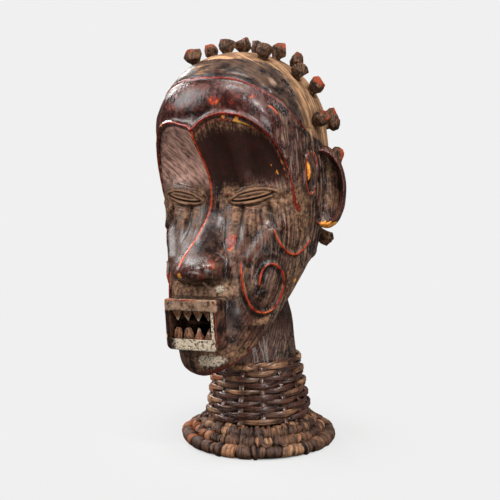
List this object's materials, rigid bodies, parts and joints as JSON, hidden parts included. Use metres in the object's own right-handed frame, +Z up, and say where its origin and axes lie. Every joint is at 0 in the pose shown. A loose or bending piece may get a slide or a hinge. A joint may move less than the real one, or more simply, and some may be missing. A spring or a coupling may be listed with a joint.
{
  "type": "skin-covered crest head on a cane base",
  "caption": "Carved wooden crest head covered in dark glossy skin, with scooped brows, a square open mouth with pointed teeth, hair pegs and a woven cane base.",
  "frame": {"origin": "on the ground, under the middle of the whole object", "axes": "+Z up; the face looks along -Y; the head's own left is +X"},
  "size_m": [0.1746, 0.1914, 0.3433],
  "materials": {
    "skin_covered_wood": "carved wood under thin dark polished skin, red and ochre where it is worn",
    "peg_wood": "rough brown wood with worn red tips",
    "tooth_splint": "dull tan split cane",
    "dark_cane": "dark brown woven cane, smoothed by handling",
    "brown_cane": "brown woven cane, dry and worn"
  },
  "bodies": {
    "root": {"head": "skin_covered_wood", "hair_peg_1": "peg_wood", "hair_peg_2": "peg_wood", "hair_peg_3": "peg_wood", "hair_peg_4": "peg_wood", "hair_peg_5": "peg_wood", "hair_peg_6": "peg_wood", "hair_peg_7": "peg_wood", "hair_peg_8": "peg_wood", "hair_peg_9": "peg_wood", "hair_peg_10": "peg_wood", "hair_peg_11": "peg_wood", "hair_peg_12": "peg_wood", "hair_peg_13": "peg_wood", "hair_peg_14": "peg_wood", "hair_peg_15": "peg_wood", "hair_peg_16": "peg_wood", "hair_peg_17": "peg_wood", "hair_peg_18": "peg_wood", "hair_peg_19": "peg_wood", "hair_peg_20": "peg_wood", "hair_peg_21": "peg_wood", "hair_peg_22": "peg_wood", "hair_peg_23": "peg_wood", "hair_peg_24": "peg_wood", "upper_tooth_1": "tooth_splint", "upper_tooth_2": "tooth_splint", "upper_tooth_3": "tooth_splint", "upper_tooth_4": "tooth_splint", "lower_tooth_1": "tooth_splint", "lower_tooth_2": "tooth_splint", "lower_tooth_3": "tooth_splint", "lower_tooth_4": "tooth_splint", "cane_collar": "dark_cane", "cane_foot_ring": "brown_cane"}
  },
  "joints": []
}
